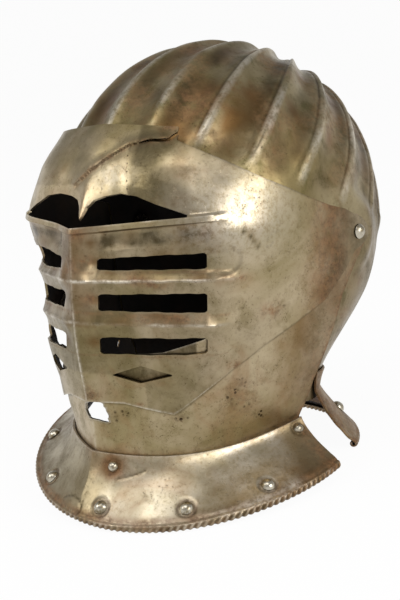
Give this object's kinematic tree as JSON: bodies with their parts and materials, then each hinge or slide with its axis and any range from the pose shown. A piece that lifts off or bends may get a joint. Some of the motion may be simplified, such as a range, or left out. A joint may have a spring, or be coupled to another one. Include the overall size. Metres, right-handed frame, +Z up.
{
  "type": "cuirassier helmet",
  "caption": "Close helmet with a fluted skull, a slotted visor and a bevor on shared side pivots, and flaring neck plates with turned edges front and back.",
  "frame": {"origin": "middle of the bounding box, on the floor that both rims rest on", "axes": "+X to the wearer's left, +Y to the back of the head, +Z up"},
  "size_m": [0.2094, 0.2728, 0.2644],
  "materials": {
    "plate_steel": "old plate with a warm patina and rust",
    "rivet_iron": "worn domed heads, browned round the edge",
    "leather": "dry, dark lining leather"
  },
  "bodies": {
    "skull_body": {"skull": "plate_steel", "rear_neck_plate": "plate_steel", "left_pivot_rivet": "rivet_iron", "right_pivot_rivet": "rivet_iron", "pivot_washers": "rivet_iron", "rear_seam_rivets": "rivet_iron", "rear_seam_burrs": "rivet_iron", "rear_lining_rivets": "rivet_iron", "rear_lining_burrs": "rivet_iron", "rear_lining_band": "leather", "rear_edge_wire": "rivet_iron"},
    "bevor_body": {"bevor": "plate_steel", "front_neck_plate": "plate_steel", "front_seam_rivets": "rivet_iron", "front_seam_burrs": "rivet_iron", "front_lining_rivets": "rivet_iron", "front_lining_burrs": "rivet_iron", "front_lining_band": "leather", "front_edge_wire": "rivet_iron"},
    "visor_body": {"visor": "plate_steel"}
  },
  "joints": [
    {"name": "bevor_pivot", "type": "hinge", "parent": "skull_body", "child": "bevor_body", "pos_m": [0.0001, 0.03876, 0.1405], "axis": [-1, 0, 0], "range_deg": [0, 45]},
    {"name": "visor_pivot", "type": "hinge", "parent": "bevor_body", "child": "visor_body", "pos_m": [0.0001, 0.03876, 0.1405], "axis": [-1, 0, 0], "range_deg": [0, 50]}
  ]
}
